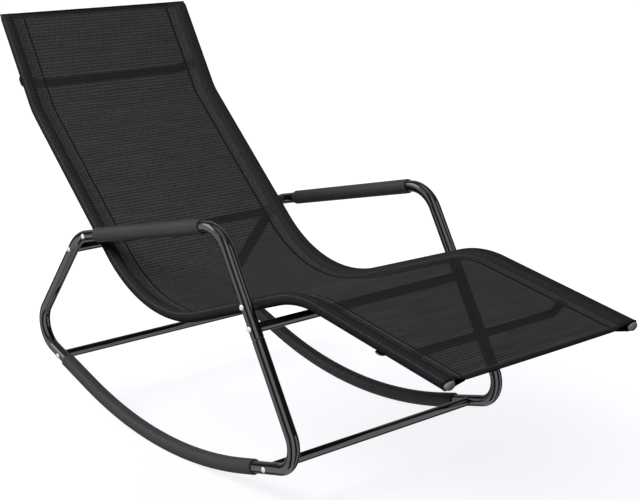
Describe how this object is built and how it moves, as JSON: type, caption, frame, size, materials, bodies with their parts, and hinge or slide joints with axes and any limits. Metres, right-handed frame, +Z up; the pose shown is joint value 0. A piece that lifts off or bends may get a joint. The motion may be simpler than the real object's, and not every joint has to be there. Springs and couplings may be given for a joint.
{
  "type": "outdoor rocking chair",
  "caption": "Outdoor rocking lounge chair: bent-tube side frames on curved foam-covered rockers carry an S-shaped mesh sling for seat, back and legs, with padded armrests",
  "frame": {"origin": "on the floor, midway between the two side frames and midway along the chair's overall length", "axes": "+X to the sitter's left, +Y to the rear (the head end), +Z up; the chair faces -Y"},
  "size_m": [0.608, 1.4972, 0.8868],
  "materials": {
    "black_paint": "gloss",
    "black_foam": "matte",
    "black_mesh": "matte",
    "black_plastic": "satin",
    "grey_plastic": "satin",
    "bright_steel": "polished"
  },
  "bodies": {
    "root": {"arm_rail_bolt_left": "bright_steel", "arm_rail_bolt_right": "bright_steel", "arm_rail_nut_left": "bright_steel", "arm_rail_nut_right": "bright_steel", "arm_rail_spacer_left": "black_plastic", "arm_rail_spacer_right": "black_plastic", "armrest_foam_left": "black_foam", "armrest_foam_right": "black_foam", "back_rail_left": "black_paint", "back_rail_right": "black_paint", "calf_spreader": "black_paint", "calf_spreader_bolt_left": "bright_steel", "calf_spreader_bolt_right": "bright_steel", "foot_rail_cap_left": "grey_plastic", "foot_rail_cap_right": "grey_plastic", "front_lower_bolt_left": "bright_steel", "front_lower_bolt_right": "bright_steel", "front_lower_crossbar": "black_paint", "front_lower_insert_left": "bright_steel", "front_lower_insert_right": "bright_steel", "head_rail_cap_left": "grey_plastic", "head_rail_cap_right": "grey_plastic", "head_spreader": "black_paint", "head_spreader_bolt_left": "bright_steel", "head_spreader_bolt_right": "bright_steel", "leg_rail_bolt_left": "bright_steel", "leg_rail_bolt_right": "bright_steel", "leg_rail_nut_left": "bright_steel", "leg_rail_nut_right": "bright_steel", "leg_rail_spacer_left": "black_plastic", "leg_rail_spacer_right": "black_plastic", "rear_lower_bolt_left": "bright_steel", "rear_lower_bolt_right": "bright_steel", "rear_lower_crossbar": "black_paint", "rear_lower_insert_left": "bright_steel", "rear_lower_insert_right": "bright_steel", "rear_upper_bolt_left": "bright_steel", "rear_upper_bolt_right": "bright_steel", "rear_upper_crossbar": "black_paint", "rear_upper_insert_left": "bright_steel", "rear_upper_insert_right": "bright_steel", "rocker_foam_left": "black_foam", "rocker_foam_right": "black_foam", "rocker_tube_left": "black_paint", "rocker_tube_right": "black_paint", "seat_bolt_left": "bright_steel", "seat_bolt_right": "bright_steel", "seat_crossbar": "black_paint", "seat_insert_left": "bright_steel", "seat_insert_right": "bright_steel", "seat_rail_left": "black_paint", "seat_rail_right": "black_paint", "sling": "black_mesh", "upper_frame_tube_left": "black_paint", "upper_frame_tube_right": "black_paint"}
  },
  "joints": []
}
